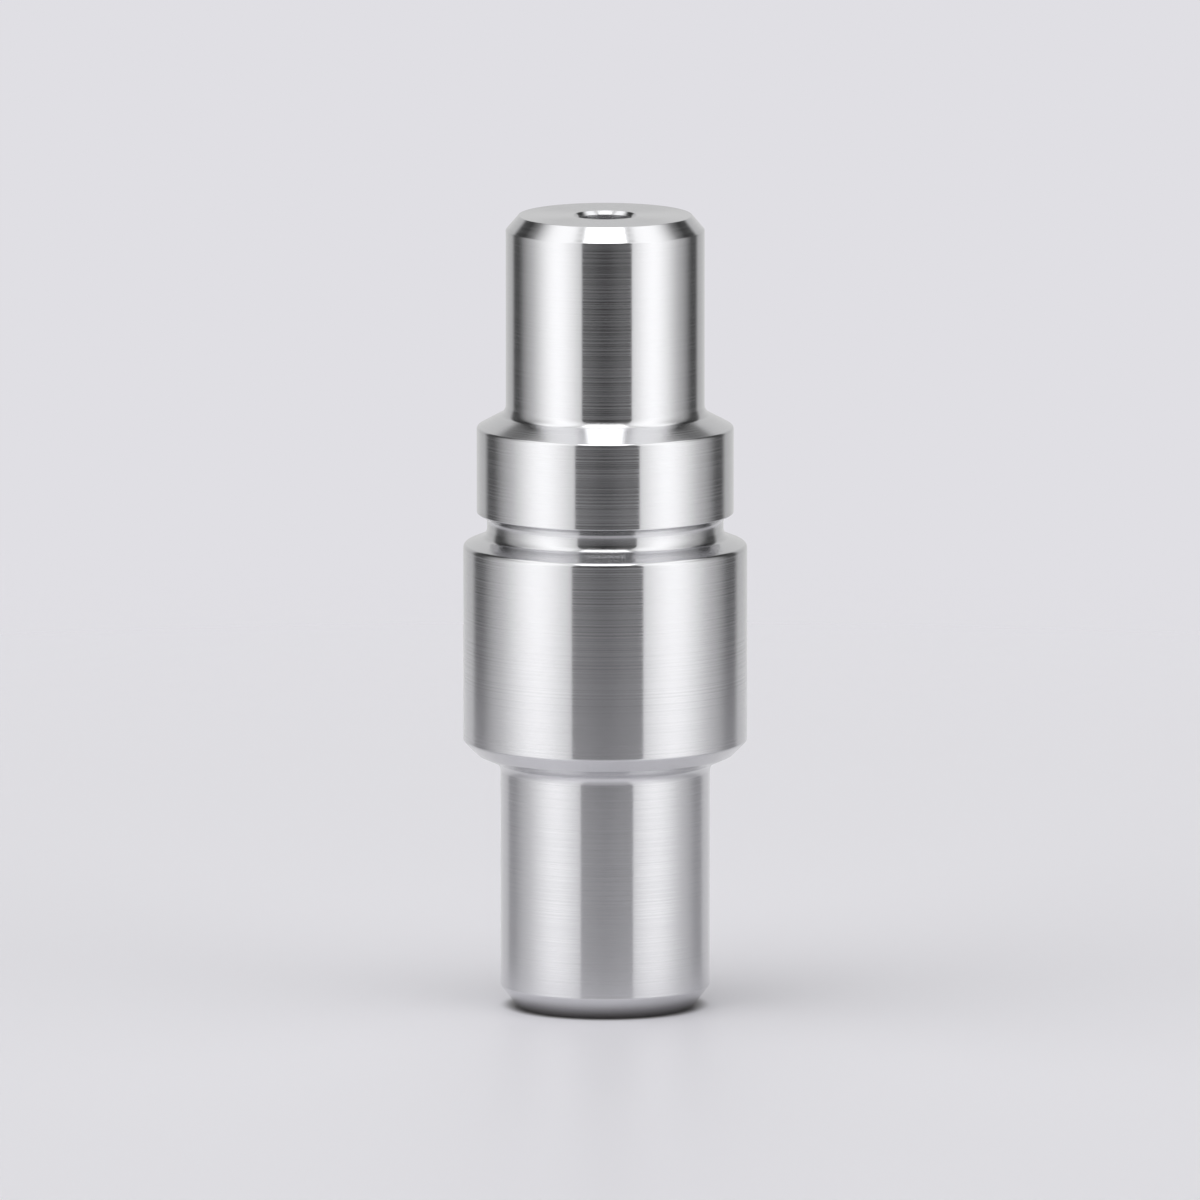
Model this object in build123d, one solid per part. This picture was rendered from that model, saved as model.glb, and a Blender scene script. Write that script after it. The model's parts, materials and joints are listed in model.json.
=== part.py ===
"""Stepped shaft, turned in one piece from stainless steel bar.

Millimetres, +Z up. The origin is the centre of the lower end face, and the
axis of the shaft is Z. From the bottom: lower journal, body, groove, collar,
upper journal.
"""
from build123d import *

import os
from math import radians, tan

# Diameters
upper_journal_diameter = 28.0
collar_diameter = 36.2
body_diameter = 40.0
lower_journal_diameter = 29.5

# Lengths along the axis, from the bottom, and the depth of the groove
lower_journal_length = 34.5
underside_rise = 1.5           # the body's underside is a shallow cone
body_length = 29.7             # from the inner edge of its chamfer to its top edge
groove_width = 4.5             # from the body's top edge to the collar's underside
groove_depth = 1.45            # below the collar's surface
collar_length = 12.2
upper_journal_length = 30.1    # from the collar's top edge to the end face

# Chamfers and cones
lower_end_chamfer_depth = 2.3
lower_end_chamfer_length = 3.0
body_chamfer = 1.9             # 45 degrees, at the body's lower edge
body_top_slope = 22.0          # degrees below level
collar_top_slope = 28.0        # degrees below level
upper_end_chamfer_depth = 1.8
upper_end_chamfer_length = 2.1

# Corner radii and edge breaks
underside_radius = 1.6         # body's underside to lower journal
groove_lower_radius = 1.4
groove_upper_radius = 1.0
collar_radius = 1.5            # collar's cone to upper journal
body_top_radius = 0.6          # the body's upper edge is rounded
edge_break = 0.2               # taken off every other outer edge

# Drilled centre hole in the upper end
hole_diameter = 8.0
hole_depth = 20.0              # to the end of its full diameter
hole_chamfer = 0.5
drill_point_angle = 118.0

# Heights that follow from the lengths
underside_height = lower_journal_length + underside_rise
body_top_height = underside_height + body_length
collar_bottom_height = body_top_height + groove_width
collar_top_height = collar_bottom_height + collar_length
overall_length = collar_top_height + upper_journal_length


def cone_rise(outer_radius, inner_radius, slope):
    """Height that a cone gains from its outer to its inner radius."""
    return (outer_radius - inner_radius) * tan(radians(slope))


def outline_corners():
    """Sharp corners of the half section from the lower to the upper end, each
    with how it is finished and by how much."""
    lower_journal = lower_journal_diameter / 2
    body = body_diameter / 2
    collar = collar_diameter / 2
    groove = collar - groove_depth
    upper_journal = upper_journal_diameter / 2
    groove_foot = body_top_height + cone_rise(body, groove, body_top_slope)
    collar_peak = collar_top_height + cone_rise(collar, upper_journal, collar_top_slope)
    return [
        (lower_journal - lower_end_chamfer_depth, 0, chamfer, edge_break),
        (lower_journal, lower_end_chamfer_length, chamfer, edge_break),
        (lower_journal, lower_journal_length, fillet, underside_radius),
        (body - body_chamfer, underside_height, chamfer, edge_break),
        (body, underside_height + body_chamfer, chamfer, edge_break),
        (body, body_top_height, fillet, body_top_radius),
        (groove, groove_foot, fillet, groove_lower_radius),
        (groove, collar_bottom_height, fillet, groove_upper_radius),
        (collar, collar_bottom_height, chamfer, edge_break),
        (collar, collar_top_height, chamfer, edge_break),
        (upper_journal, collar_peak, fillet, collar_radius),
        (upper_journal, overall_length - upper_end_chamfer_length, chamfer, edge_break),
        (upper_journal - upper_end_chamfer_depth, overall_length, chamfer, edge_break),
    ]


def turned_blank():
    """The outside of the shaft, as it comes off the lathe."""
    corners = outline_corners()
    points = [(radius, height) for radius, height, finish, size in corners]
    section = make_face(Plane.XZ * Polyline((0, 0), *points, (0, overall_length), close=True))
    for radius, height, finish, size in corners:
        corner = section.vertices().sort_by_distance((radius, 0, height))[0]
        section = finish(corner, size)
    return revolve(section, Axis.Z)


def centre_hole():
    """What the drill and the countersink take out of the upper end."""
    hole = hole_diameter / 2
    mouth = hole + hole_chamfer
    floor = overall_length - hole_depth
    tip = floor - hole / tan(radians(drill_point_angle / 2))
    section = Polyline(
        (0, tip),
        (hole, floor),
        (hole, overall_length - hole_chamfer),
        (mouth, overall_length),
        (0, overall_length),
        close=True,
    )
    return revolve(make_face(Plane.XZ * section), Axis.Z)


def stepped_shaft():
    return turned_blank() - centre_hole()


os.makedirs("parts", exist_ok=True)
shaft = stepped_shaft()
export_step(shaft, "parts/stepped_shaft.step")
print(f"stepped_shaft: {overall_length:.1f} mm long, {shaft.volume / 1000:.2f} cm3")
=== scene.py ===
"""Studio scene for a stepped shaft, turned in one piece from stainless steel.

Metres, +Z up, in the same frame as the CAD model: the axis of the shaft is Z
and its lower end stands on Z = 0. The shaft is spun again here from the same
diameters and heights as the solid, with the small roundings of its edges.
"""
import json
from functools import partial
from math import cos, pi, radians, sin, tan

import bmesh
import bpy
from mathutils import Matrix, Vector


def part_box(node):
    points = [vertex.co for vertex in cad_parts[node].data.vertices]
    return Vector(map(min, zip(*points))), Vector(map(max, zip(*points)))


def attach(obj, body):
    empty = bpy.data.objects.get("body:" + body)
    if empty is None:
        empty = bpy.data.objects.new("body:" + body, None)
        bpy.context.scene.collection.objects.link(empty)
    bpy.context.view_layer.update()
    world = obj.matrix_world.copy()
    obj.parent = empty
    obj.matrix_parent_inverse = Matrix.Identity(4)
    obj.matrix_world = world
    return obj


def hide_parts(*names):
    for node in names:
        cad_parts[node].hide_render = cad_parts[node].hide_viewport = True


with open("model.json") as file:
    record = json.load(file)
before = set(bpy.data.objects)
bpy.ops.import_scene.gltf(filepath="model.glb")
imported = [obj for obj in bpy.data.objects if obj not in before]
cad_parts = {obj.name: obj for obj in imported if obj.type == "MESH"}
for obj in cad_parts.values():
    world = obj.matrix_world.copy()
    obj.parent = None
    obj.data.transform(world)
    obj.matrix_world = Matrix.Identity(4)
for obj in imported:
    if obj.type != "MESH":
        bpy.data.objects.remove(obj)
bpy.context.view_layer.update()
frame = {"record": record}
MM = 0.001
SAME_PLACE = 1e-6              # metres: points nearer than this are one

# ---------------------------------------------------------------------------
# Sizes, in millimetres. Seats and the hole come from the record's mounts.
# ---------------------------------------------------------------------------
mounts = {m["name"]: m for m in frame["record"]["mounts"]}
low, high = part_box("stepped_shaft")
overall_length = (high[2] - low[2]) / MM


def seat(name):
    """Radius of a mount, and the heights at which its wall starts and ends."""
    middle = mounts[name]["pos_m"][2] / MM
    half = mounts[name]["dims"]["length_mm"] / 2
    return mounts[name]["dims"]["r_mm"], middle - half, middle + half


edge_break = 0.2               # between a seat and the edge beside it
body_top_rim = 0.4             # between the body's seat and its top edge
lower_radius, _, _ = seat("lower_journal")
body_radius, body_start, body_end = seat("body_seat")
collar_radius, collar_start, collar_end = seat("collar_seat")
upper_radius, _, _ = seat("upper_journal")
body_top = round(body_end + body_top_rim, 1)
collar_bottom = round(collar_start - edge_break, 1)
collar_top = round(collar_end + edge_break, 1)

lower_chamfer_depth, lower_chamfer_length = 2.3, 3.0
upper_chamfer_depth, upper_chamfer_length = 1.8, 2.1
body_chamfer = 1.9
underside_inner = 34.5         # height where the underside meets the journal
underside_outer = round(body_start - edge_break - body_chamfer, 1)
groove_depth = 1.45
groove_radius = collar_radius - groove_depth
body_top_slope, collar_top_slope = radians(22.0), radians(28.0)

hole_radius = mounts["centre_hole"]["dims"]["r_mm"]
hole_chamfer = 0.5
hole_depth = 20.0
drill_point_angle = 118.0
drill_point_slope = radians(90 - drill_point_angle / 2)
drill_point_height = hole_radius * tan(drill_point_slope)


def cone_rise(outer, inner, slope):
    """Height that a cone gains from its outer to its inner radius."""
    return (outer - inner) * tan(slope)


# Fillets, in the order they stand up the shaft.
journal_fillet, groove_lower_fillet = 1.6, 1.4
groove_upper_fillet, shoulder_fillet = 1.3, 1.5

# Half outline of the shaft, from the middle of the lower end, up the outside
# and down into the drilled hole: (radius, height, rounding of the corner).
outline = [
    (0.0, 0.0, 0.0),
    (lower_radius - lower_chamfer_depth, 0.0, 0.20),
    (lower_radius, lower_chamfer_length, 0.35),
    (lower_radius, underside_inner, journal_fillet),
    (body_radius - body_chamfer, underside_outer, 0.25),
    (body_radius, underside_outer + body_chamfer, 0.40),
    (body_radius, body_top, 0.65),
    (groove_radius,
     body_top + cone_rise(body_radius, groove_radius, body_top_slope),
     groove_lower_fillet),
    (groove_radius, collar_bottom, groove_upper_fillet),
    (collar_radius, collar_bottom, 0.20),
    (collar_radius, collar_top, 0.45),
    (upper_radius,
     collar_top + cone_rise(collar_radius, upper_radius, collar_top_slope),
     shoulder_fillet),
    (upper_radius, overall_length - upper_chamfer_length, 0.15),
    (upper_radius - upper_chamfer_depth, overall_length, 0.15),
    (hole_radius + hole_chamfer, overall_length, 0.06),
    (hole_radius, overall_length - hole_chamfer, 0.08),
    (hole_radius, overall_length - hole_depth, 0.0),
    (0.0, overall_length - hole_depth - drill_point_height, 0.0),
]
SPIN_STEPS = 256
ROUNDING_SEGMENTS = 6
FLAT_WALL_WEIGHT = 100         # how far large faces set the shading at their edges


# ---------------------------------------------------------------------------
# Shader helpers
# ---------------------------------------------------------------------------
def linear(hex_colour):
    """A linear RGBA colour from an sRGB hex string."""
    parts = [int(hex_colour[i:i + 2], 16) / 255 for i in (0, 2, 4)]
    return tuple(c / 12.92 if c <= 0.04045 else ((c + 0.055) / 1.055) ** 2.4
                 for c in parts) + (1.0,)


def node(tree, kind, inputs=(), **settings):
    """Adds a shader node with its settings and links. An input, by name or
    number, is a value, a socket, or a node whose first live output is linked."""
    made = tree.nodes.new("ShaderNode" + kind)
    for name, value in settings.items():
        setattr(made, name, value)
    for name, value in dict(inputs).items():
        if isinstance(value, bpy.types.Node):
            value = next(output for output in value.outputs if output.enabled)
        if isinstance(value, bpy.types.NodeSocket):
            tree.links.new(value, made.inputs[name])
        else:
            made.inputs[name].default_value = value
    return made


EASED = {"interpolation_type": "SMOOTHSTEP"}


def from_to(value, span, levels=(0.0, 1.0)):
    """Map Range inputs: while value crosses span, the result crosses levels."""
    return dict(enumerate((value, *span, *levels)))


def new_material(name):
    material = bpy.data.materials.new(name)
    material.use_nodes = True
    material.node_tree.nodes.clear()
    return material, partial(node, material.node_tree)


# ---------------------------------------------------------------------------
# Turned stainless steel
# ---------------------------------------------------------------------------
FEED_MARK = 0.25 * MM          # real ones are near 0.1 mm; coarser, so they show
TOOL_BAND = 3.0 * MM           # slower change in the finish along the cut
FEED_SHARE = 0.8               # share of the finish that the feed marks make
RADIUS_SHARE = 1.7             # so that cones and end faces carry rings as well
FEED_MARK_DEPTH = 0.02 * MM
FINISH_SPAN = (0.3, 0.7)       # the part of the noise that changes the finish
STEEL_ROUGHNESS = (0.12, 0.21)
STEEL_DARK, STEEL_LIGHT = "DBDBDD", "E0E0E2"


def turned_stainless_steel():
    """Stainless steel, turned on a lathe with a fine feed: a bright grey with
    fine rings round the axis, which draw each highlight out along it."""
    material, put = new_material("turned_stainless_steel")
    place = put("TexCoord").outputs["Object"]
    x, y, z = put("SeparateXYZ", {0: place}).outputs
    radius = put("Math", {
        0: put("Math", {
            0: put("Math", {0: x, 1: x}, operation="MULTIPLY"),
            1: put("Math", {0: y, 1: y}, operation="MULTIPLY")}, operation="ADD"),
    }, operation="SQRT")
    outward = put("Math", {0: radius, 1: RADIUS_SHARE}, operation="MULTIPLY")
    feed = put("Math", {0: z, 1: outward}, operation="ADD")
    rings = put("TexNoise", {"W": feed, "Scale": 1 / FEED_MARK, "Detail": 1.5,
                             "Roughness": 0.6}, noise_dimensions="1D")
    bands = put("TexNoise", {"W": feed, "Scale": 1 / TOOL_BAND, "Detail": 2.0,
                             "Roughness": 0.5}, noise_dimensions="1D")
    fine = put("Math", {0: rings, 1: FEED_SHARE}, operation="MULTIPLY")
    slow = put("Math", {0: bands, 1: 1 - FEED_SHARE}, operation="MULTIPLY")
    finish = put("Math", {0: fine, 1: slow}, operation="ADD")
    colour = put("Mix", {
        "Factor": put("MapRange", from_to(finish, FINISH_SPAN), **EASED),
        "A": linear(STEEL_DARK), "B": linear(STEEL_LIGHT)}, data_type="RGBA")
    rough = put("MapRange", from_to(finish, FINISH_SPAN, STEEL_ROUGHNESS), **EASED)
    bump = put("Bump", {"Strength": 0.05, "Distance": FEED_MARK_DEPTH, "Height": rings})
    tangent = put("Tangent", direction_type="RADIAL", axis="Z")
    steel = put("BsdfPrincipled", {
        "Base Color": colour, "Metallic": 1.0, "Roughness": rough,
        "Anisotropic": 0.95, "Anisotropic Rotation": 0.25,
        "Normal": bump, "Tangent": tangent})
    put("OutputMaterial", {"Surface": steel})
    return material


# ---------------------------------------------------------------------------
# The shaft
# ---------------------------------------------------------------------------
def turning_angle(before, corner, after):
    """How far the outline turns at a corner, in radians."""
    into = Vector((corner[0] - before[0], corner[1] - before[1]))
    out = Vector((after[0] - corner[0], after[1] - corner[1]))
    return into.angle(out)


def turn_shaft(name, material):
    """Spins the outline into a closed shaft, then rounds its circles."""
    bm = bmesh.new()
    corners = [bm.verts.new((radius * MM, 0, height * MM))
               for radius, height, _ in outline]
    edges = [bm.edges.new(pair) for pair in zip(corners, corners[1:])]
    bmesh.ops.spin(bm, geom=corners + edges, cent=(0, 0, 0), axis=(0, 0, 1),
                   angle=2 * pi, steps=SPIN_STEPS, use_merge=True)
    bmesh.ops.remove_doubles(bm, verts=bm.verts, dist=SAME_PLACE)
    bmesh.ops.recalc_face_normals(bm, faces=bm.faces)
    for before, corner, after in zip(outline, outline[1:], outline[2:]):
        radius, height, rounding = corner
        if not rounding:
            continue
        circle = [e for e in bm.edges
                  if all(abs(v.co.z - height * MM) < SAME_PLACE
                         and abs(v.co.xy.length - radius * MM) < SAME_PLACE
                         for v in e.verts)]
        setback = rounding * tan(turning_angle(before, corner, after) / 2)
        bmesh.ops.bevel(bm, geom=circle, offset=setback * MM,
                        offset_type="OFFSET", affect="EDGES",
                        segments=ROUNDING_SEGMENTS, profile=0.5, material=-1)
    mesh = bpy.data.meshes.new(name)
    bm.to_mesh(mesh)
    bm.free()
    mesh.shade_smooth()
    piece = bpy.data.objects.new(name, mesh)
    bpy.context.scene.collection.objects.link(piece)
    mesh.materials.append(material)
    flat = piece.modifiers.new("flat walls", "WEIGHTED_NORMAL")
    flat.weight = FLAT_WALL_WEIGHT
    return piece


shaft = turn_shaft("turned_shaft", turned_stainless_steel())
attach(shaft, "root")
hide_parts("stepped_shaft")


# ---------------------------------------------------------------------------
# Floor, in metres
# ---------------------------------------------------------------------------
FLOOR_RADIUS = 0.45
FLOOR_CORNERS = 96
FLOOR_FADE = (0.20, FLOOR_RADIUS * 0.98)
# The darkest colour is painted contact shadow, laid on the floor round the foot.
BACKDROP, BOARD, CONTACT_SHADOW_COLOUR = "E0DFE4", "E9E8ED", "4A4542"
FOOT = (lower_radius - lower_chamfer_depth) * MM
CONTACT_SHADOW_SPAN, CONTACT_SHADOW_LEVELS = (FOOT, FOOT + 2.6 * MM), (0.12, 1.0)
FAINT_SPAN, FAINT_LEVELS = (0.022, 0.060), (0.0, 0.42)


def pale_floor():
    """Board with a matt coat of paint: an even pale sheet without a gloss,
    with a painted contact shadow round the foot, that fades out at its rim."""
    material, put = new_material("pale_painted_board")
    place = put("TexCoord").outputs["Object"]
    distance = put("VectorMath", {0: place}, operation="LENGTH")
    # Painted contact shadow: the board's colour darkens in a ring round the foot.
    paint = put("Mix", {
        "Factor": put("MapRange", from_to(distance, CONTACT_SHADOW_SPAN, CONTACT_SHADOW_LEVELS), **EASED),
        "A": linear(CONTACT_SHADOW_COLOUR), "B": linear(BOARD)}, data_type="RGBA")
    board = put("BsdfPrincipled", {"Base Color": paint, "Roughness": 0.45,
                                   "Specular IOR Level": 0.25})
    rim = put("MapRange", from_to(distance, FLOOR_FADE), **EASED)
    inside = put("Math", {0: 1.0, 1: rim}, operation="SUBTRACT")
    # Polished metal sees the board plainly beside its foot, and fainter
    # further off, where the studio's own reflection lies over it.
    glossy = put("Math", {
        0: put("LightPath").outputs["Is Glossy Ray"],
        1: put("MapRange", from_to(distance, FAINT_SPAN, FAINT_LEVELS), **EASED)},
        operation="MULTIPLY")
    plain = put("Math", {0: 1.0, 1: glossy}, operation="SUBTRACT")
    shown = put("Math", {0: inside, 1: plain}, operation="MULTIPLY")
    mixed = put("MixShader", {0: shown, 1: put("BsdfTransparent"), 2: board})
    put("OutputMaterial", {"Surface": mixed})
    return material


def lay_floor():
    bm = bmesh.new()
    bmesh.ops.create_circle(bm, cap_ends=True, segments=FLOOR_CORNERS,
                            radius=FLOOR_RADIUS)
    mesh = bpy.data.meshes.new("floor")
    bm.to_mesh(mesh)
    bm.free()
    mesh.materials.append(pale_floor())
    floor = bpy.data.objects.new("floor", mesh)
    bpy.context.scene.collection.objects.link(floor)


lay_floor()


# ---------------------------------------------------------------------------
# Studio light, by the direction it comes from. Azimuth runs in degrees from
# the camera's side, 0, to the back, 180, alike on both sides; elevation is in
# degrees above level. Side is a direction's distance from the middle plane,
# and depth is its y, which grows towards the back.
# A pair is where a change starts and ends, or the levels that it runs between.
# ---------------------------------------------------------------------------
SOFTBOX_RISE, SOFTBOX_FALL, SOFTBOX_LEVEL = (7.5, 57.5), (57.5, 107.5), 0.95
WALL_TURN, WALL_LEVELS = (118.0, 172.0), (0.42, 0.66)
GAP_CLIMB, GAP_CURVE = (-9.0, 34.0), 3.0
GAP_FRONT, GAP_FRONT_LEAN = (100.0, 122.0), 9.0
GAP_BACK, GAP_BACK_LEAN = (128.0, 140.0), 26.0
GAP_DARKNESS, GAP_LEAN_DARKNESS = 0.79, 0.12
CEILING_LEVEL = 1.36
PANEL_SIDE = (0.265, 0.285)
PANEL_DEPTH, PANEL_LEVELS = (-0.24, -0.10), (1.3, -0.3)
SEAM_RISE, SEAM_FALL, SEAM_DARKNESS = (0.275, 0.295), (0.33, 0.41), 0.62
CEILING_EDGE = (37.0, 56.0)
CEILING_LIFT_TURN, CEILING_LIFT = (112.0, 145.0), (0.0, 7.0)
CARD_RISE, CARD_FALL, CARD_TOP = (-27.7, -26.3), (30.3, 31.7), (50.0, 52.0)
CARD_TURN, CARD_LEVELS = (0.0, 24.0), (0.05, 0.12)
NEARER_SIDE, NEARER_LEVELS = (-0.5, 0.5), (0.35, -0.35)
FALLING = (1.0, 0.0)


def band(put, value, rise, fall):
    """1 between two edges, each eased over its own span, and 0 past them."""
    return put("Math", {0: put("MapRange", from_to(value, rise), **EASED),
                        1: put("MapRange", from_to(value, fall, FALLING), **EASED)},
               operation="MULTIPLY")


def angle_from_camera(put, across, depth):
    """Degrees round the shaft from the camera's side."""
    towards = put("Math", {0: depth, 1: -1.0}, operation="MULTIPLY")
    turn = put("Math", {0: across, 1: towards}, operation="ARCTAN2")
    return put("Math", {0: turn}, operation="DEGREES")


def walls(put, azimuth, elevation):
    """Grey walls and a tall softbox on each side, brightest where its rise
    meets its fall, and behind it a dark gap that leans back as it rises."""
    softbox = put("Math", {0: band(put, azimuth, SOFTBOX_RISE, SOFTBOX_FALL),
                           1: SOFTBOX_LEVEL}, operation="MULTIPLY")
    wall = put("MapRange", from_to(azimuth, WALL_TURN, WALL_LEVELS), **EASED)
    lit = put("Math", {0: wall, 1: softbox}, operation="ADD")

    climb = put("MapRange", from_to(elevation, GAP_CLIMB))
    lean = put("Math", {0: climb, 1: GAP_CURVE}, operation="POWER")
    edges = []
    for span, levels, degrees in ((GAP_FRONT, (0.0, 1.0), GAP_FRONT_LEAN),
                                  (GAP_BACK, FALLING, GAP_BACK_LEAN)):
        shift = put("Math", {0: lean, 1: degrees}, operation="MULTIPLY")
        place = put("Math", {0: azimuth, 1: shift}, operation="SUBTRACT")
        edges.append(put("MapRange", from_to(place, span, levels), **EASED))
    gap = put("Math", {0: edges[0], 1: edges[1]}, operation="MULTIPLY")
    deeper = put("Math", {0: lean, 1: GAP_LEAN_DARKNESS}, operation="MULTIPLY")
    darkness = put("Math", {0: GAP_DARKNESS, 1: deeper}, operation="ADD")
    lost = put("Math", {0: gap, 1: darkness}, operation="MULTIPLY")
    kept = put("Math", {0: 1.0, 1: lost}, operation="SUBTRACT")
    return put("Math", {0: lit, 1: kept}, operation="MULTIPLY")


def ceiling(put, side, depth):
    """A panel over the middle, bright in front and dim behind, softer panels
    at the sides, and a dim seam between them."""
    middle = put("MapRange", from_to(side, PANEL_SIDE, FALLING), **EASED)
    front = put("MapRange", from_to(depth, PANEL_DEPTH, PANEL_LEVELS), **EASED)
    panel = put("Math", {0: middle, 1: front}, operation="MULTIPLY")
    lit = put("Math", {0: CEILING_LEVEL, 1: panel}, operation="ADD")
    seam = put("Math", {0: band(put, side, SEAM_RISE, SEAM_FALL),
                        1: -SEAM_DARKNESS}, operation="MULTIPLY")
    return put("Math", {0: lit, 1: seam}, operation="ADD")


def ceiling_share(put, azimuth, elevation):
    """The ceiling ends higher over the back, above the dark gaps."""
    lift = put("MapRange", from_to(azimuth, CEILING_LIFT_TURN, CEILING_LIFT), **EASED)
    above = put("Math", {0: elevation, 1: lift}, operation="SUBTRACT")
    return put("MapRange", from_to(above, CEILING_EDGE), **EASED)


def card_share(put, signed_azimuth, elevation):
    """The dark card that the camera looks past, cut off at its top."""
    return put("Math", {0: band(put, signed_azimuth, CARD_RISE, CARD_FALL),
                        1: put("MapRange", from_to(elevation, CARD_TOP, FALLING), **EASED)},
               operation="MULTIPLY")


def studio_world():
    world = bpy.data.worlds.new("soft studio")
    bpy.context.scene.world = world
    world.use_nodes = True
    world.node_tree.nodes.clear()
    put = partial(node, world.node_tree)
    way = put("TexCoord").outputs["Generated"]
    x, depth, height = put("SeparateXYZ", {0: way}).outputs
    side = put("Math", {0: x}, operation="ABSOLUTE")
    azimuth = angle_from_camera(put, side, depth)
    tilt = put("Math", {0: height}, operation="ARCSINE")
    elevation = put("Math", {0: tilt}, operation="DEGREES")

    level = put("Mix", {"Factor": ceiling_share(put, azimuth, elevation),
                        "A": walls(put, azimuth, elevation),
                        "B": ceiling(put, side, depth)})
    # The card is a little lighter towards its edges.
    level = put("Mix", {
        "Factor": card_share(put, angle_from_camera(put, x, depth), elevation),
        "A": level,
        "B": put("MapRange", from_to(azimuth, CARD_TURN, CARD_LEVELS), **EASED)})
    # The left softbox stands nearer, so shadows fall a little to the right.
    rays = put("LightPath").outputs
    nearer = put("Math", {
        0: rays["Is Diffuse Ray"],
        1: put("MapRange", from_to(x, NEARER_SIDE, NEARER_LEVELS), **EASED)},
        operation="MULTIPLY")
    uneven = put("Math", {0: 1.0, 1: nearer}, operation="ADD")
    level = put("Math", {0: level, 1: uneven}, operation="MULTIPLY")
    # The camera itself sees a plain backdrop, and everything else the studio.
    studio = put("Background", {"Color": linear("FFFFFF"), "Strength": level})
    seen = put("Background", {"Color": linear(BACKDROP), "Strength": 1.0})
    mixed = put("MixShader", {0: rays["Is Camera Ray"], 1: studio, 2: seen})
    put("OutputWorld", {"Surface": mixed})


studio_world()


# ---------------------------------------------------------------------------
# Camera: a long lens, a little above the shaft
# ---------------------------------------------------------------------------
camera_data = bpy.data.cameras.new("camera")
camera = bpy.data.objects.new("camera", camera_data)
bpy.context.scene.collection.objects.link(camera)
camera_pitch = radians(8.656)
camera_distance = 5.72
aim = Vector((-0.00073, 0.0, 0.0577))
camera_data.sensor_width = 36.0
camera_data.lens = 1218.0
camera_data.clip_end = 12.0
back = Vector((0, -cos(camera_pitch), sin(camera_pitch)))
camera.location = aim + back * camera_distance
camera.rotation_mode = "QUATERNION"
camera.rotation_quaternion = (-back).to_track_quat("-Z", "Y")
bpy.context.scene.camera = camera

bpy.context.scene.view_settings.view_transform = "Standard"
